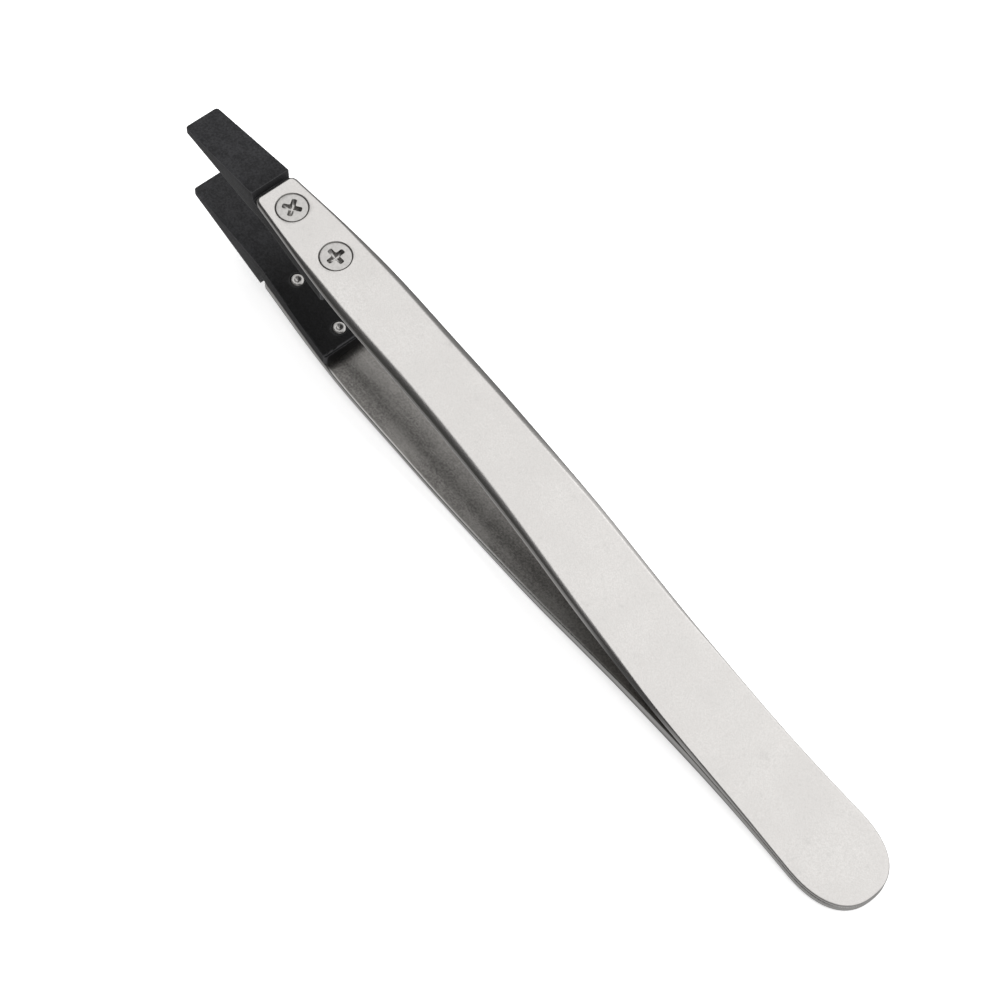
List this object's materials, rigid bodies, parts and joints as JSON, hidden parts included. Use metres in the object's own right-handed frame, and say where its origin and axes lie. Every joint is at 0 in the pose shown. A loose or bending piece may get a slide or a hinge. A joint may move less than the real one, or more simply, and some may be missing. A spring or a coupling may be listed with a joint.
{
  "type": "replaceable-tip tweezers",
  "caption": "Precision tweezers with satin steel arms welded at the heel and black static-safe plastic tips held by countersunk screws.",
  "frame": {"origin": "middle of the bounding box, on the mid-plane between the two arms", "axes": "+X from the heel towards the tips, +Z the direction in which the jaws open, +Y across the arms' width"},
  "size_m": [0.128, 0.0112, 0.0212],
  "materials": {
    "steel": "satin, bead-blasted",
    "screw_steel": "satin, slightly darker than the arms",
    "plastic": "matte, fine moulded texture"
  },
  "bodies": {
    "heel": {"upper_arm_heel": "steel", "lower_arm_heel": "steel"},
    "upper_jaw": {"upper_arm_blade": "steel", "upper_tip": "plastic", "upper_screw_front": "screw_steel", "upper_screw_rear": "screw_steel"},
    "lower_jaw": {"lower_arm_blade": "steel", "lower_tip": "plastic", "lower_screw_front": "screw_steel", "lower_screw_rear": "screw_steel"}
  },
  "joints": [
    {"name": "upper_flex", "type": "hinge", "parent": "heel", "child": "upper_jaw", "pos_m": [-0.037, 0, 0.00165], "axis": [0, 1, 0], "range_deg": [0, 3.7], "stiffness_Nm_per_rad": 2.4},
    {"name": "lower_flex", "type": "hinge", "parent": "heel", "child": "lower_jaw", "pos_m": [-0.037, 0, -0.00165], "axis": [0, -1, 0], "range_deg": [0, 3.7], "stiffness_Nm_per_rad": 2.4}
  ]
}
